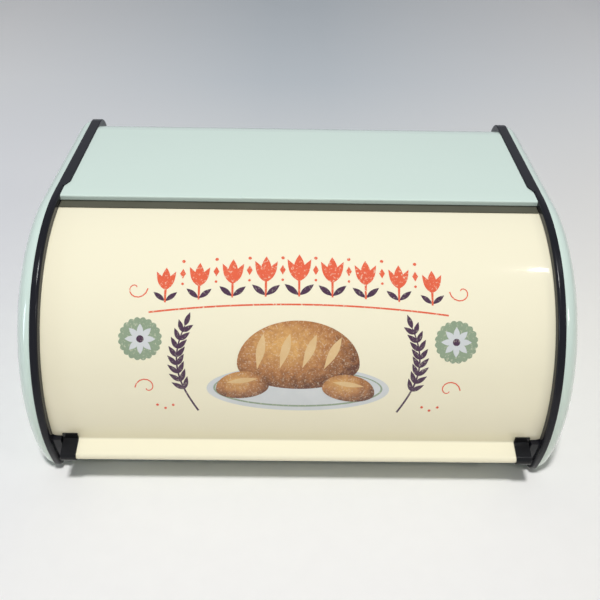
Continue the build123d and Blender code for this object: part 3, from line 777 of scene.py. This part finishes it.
# Feet: moulded black rubber with a hollowed sole, each pushed by its barb through
# a hole in the pan.
foot_rubber = moulded_plastic("foot_rubber", dark=(0.02, 0.02, 0.02), light=(0.035, 0.034, 0.033),
                              gloss=0.7, grain=0.00003, specular=0.3)
sole = [(0, 0.9), (4.6, 0.9), (5.3, 0.5), (5.6, 0.12), (6.0, 0), (7.0, 0), (7.6, 0.25)]
flank = [(8.05, 0.9), (8.9, 5.2), (8.95, 5.7), (8.6, 6.1), (8.1, 6.2)]
barb = [(2.5, 6.2), (2.5, 7.0), (3.6, 7.0), (3.5, 7.3), (2.7, 8.5), (2.2, 8.8), (0, 8.8)]
feet = [f"{end}_{side}_foot" for end in ("front", "rear") for side in ("left", "right")]
spots = []
for foot in feet:
    low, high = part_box(foot)
    middle = (low + high) / 2
    spots.append(((middle.x, middle.y, low.z), (0, 0, 1)))
set_fasteners("rubber_feet", lathe("foot_pattern", sole + flank + barb), spots, foot_rubber,
              "box", "foot_rubber", *feet)


# Table: a pale painted board with painted shade to the left, painted light to the
# right, and a blue grey painted shadow behind the middle of the box. It throws a warm light up at the box.
def table_paint(name):
    """Pale paint with painted shade to the left, painted light to the right and a painted shadow far
    behind the middle; a warmer colour for what it lights.
    """
    off_white, speckle = (0.90, 0.89, 0.87), (0.87, 0.86, 0.84)
    painted_shade_left, painted_light_right = (0.78, 0.78, 0.83), (0.95, 0.92, 0.86)
    painted_shadow_far_middle, far_sides = (0.72, 0.77, 0.81), (1.0, 1.0, 1.0)
    bounce = (0.92, 0.87, 0.78)
    material, tree, shader, place = start_material(name)
    split = tree.nodes.new("ShaderNodeSeparateXYZ")
    tree.links.new(place, split.inputs["Vector"])
    across, away = split.outputs["X"], split.outputs["Y"]
    paint = tint(tree, cloud(tree, place, 60, detail=4), off_white, speckle)
    # painted shade on the left, painted light on the right, and a painted shadow far behind the middle
    paint = tint(tree, stretch(tree, across, -0.2, -0.5, 0, 1), paint, painted_shade_left)
    paint = tint(tree, stretch(tree, across, 0.15, 0.45, 0, 1), paint, painted_light_right)
    aside = stretch(tree, calculate(tree, "ABSOLUTE", across), 0.05, 0.6, 0, 1)
    distance = tint(tree, aside, painted_shadow_far_middle, far_sides)
    paint = tint(tree, stretch(tree, away, 0.05, 0.7, 0, 1), paint, distance)
    bounced = tree.nodes.new("ShaderNodeLightPath").outputs["Is Diffuse Ray"]
    tree.links.new(tint(tree, bounced, paint, bounce), shader.inputs["Base Color"])
    rubbed = stretch(tree, cloud(tree, place, 14, detail=3), 0.3, 0.7, 0.5, 0.6)
    tree.links.new(rubbed, shader.inputs["Roughness"])
    return material


table_half = 4.0
mesh = bmesh.new()
bmesh.ops.create_grid(mesh, x_segments=1, y_segments=1, size=table_half)
table = new_piece("table", mesh)
table.data.materials.append(table_paint("table_paint"))


# Light: a small strong ceiling lamp a little in front of the box, weak fill from the
# front right, a small high lamp whose mirror image lies at the lid's right edge, and
# a narrow cool window to the left. Only the black mouldings mirror the ceiling lamp.
def lamp(name, azimuth, elevation, distance, size, power, colour=(1, 1, 1)):
    """Area lamp aimed at the box; the azimuth turns from the front to the right, in degrees."""
    light = bpy.data.lights.new(name, "AREA")
    light.shape = "RECTANGLE"
    light.size, light.size_y = size
    light.energy = power
    light.color = colour
    holder = bpy.data.objects.new(name, light)
    bpy.context.scene.collection.objects.link(holder)
    turn, rise = math.radians(azimuth), math.radians(elevation)
    level = math.cos(rise)
    way = Vector((math.sin(turn) * level, -math.cos(turn) * level, math.sin(rise)))
    middle_of_box = Vector((0, 0, 0.1))
    holder.location = middle_of_box + distance * way
    holder.rotation_euler = (-way).to_track_quat("-Z", "Y").to_euler()
    return holder


overhead = {"azimuth": -8, "elevation": 72, "distance": 1.8, "size": (0.2, 0.2), "power": 25}
ceiling = lamp("ceiling", **overhead)
ceiling.visible_glossy = False
gleam = lamp("gleam", **overhead)
gleam.visible_diffuse = False
mouldings = bpy.data.collections.new("mouldings")
for name in ("left_side_frame", "right_side_frame", "left_handle_clip", "right_handle_clip"):
    mouldings.objects.link(frame["nodes"][name])
gleam.light_linking.receiver_collection = mouldings
lamp("right_window", azimuth=57, elevation=31, distance=1.8, size=(0.2, 0.2), power=2.4,
     colour=(1, 0.97, 0.92))
lamp("high_window", azimuth=72, elevation=64, distance=1.8, size=(0.08, 0.08), power=0.35)
lamp("left_window", azimuth=-72, elevation=13, distance=1.5, size=(0.12, 0.5), power=2.2,
     colour=(0.75, 0.88, 1))


# Room: dim walls that fill the shadows with soft light. The camera and the gloss of
# the pieces see a lighter backdrop instead, palest low down.
dim_low, dim_high = (0.05, 0.052, 0.056), (0.23, 0.235, 0.25)
backdrop_low, backdrop_high = (0.52, 0.55, 0.59), (0.30, 0.32, 0.35)
world = bpy.data.worlds.new("room")
bpy.context.scene.world = world
world.use_nodes = True
tree = world.node_tree
split = tree.nodes.new("ShaderNodeSeparateXYZ")
tree.links.new(tree.nodes.new("ShaderNodeTexCoord").outputs["Generated"], split.inputs["Vector"])
height = stretch(tree, split.outputs["Z"], 0, 1, 0, 1)
backdrop = tint(tree, height, backdrop_low, backdrop_high)
bounced = tree.nodes.new("ShaderNodeLightPath").outputs["Is Diffuse Ray"]
seen = tint(tree, bounced, backdrop, tint(tree, height, dim_low, dim_high))
tree.links.new(seen, tree.nodes["Background"].inputs["Color"])

bpy.context.scene.view_settings.view_transform = "Standard"
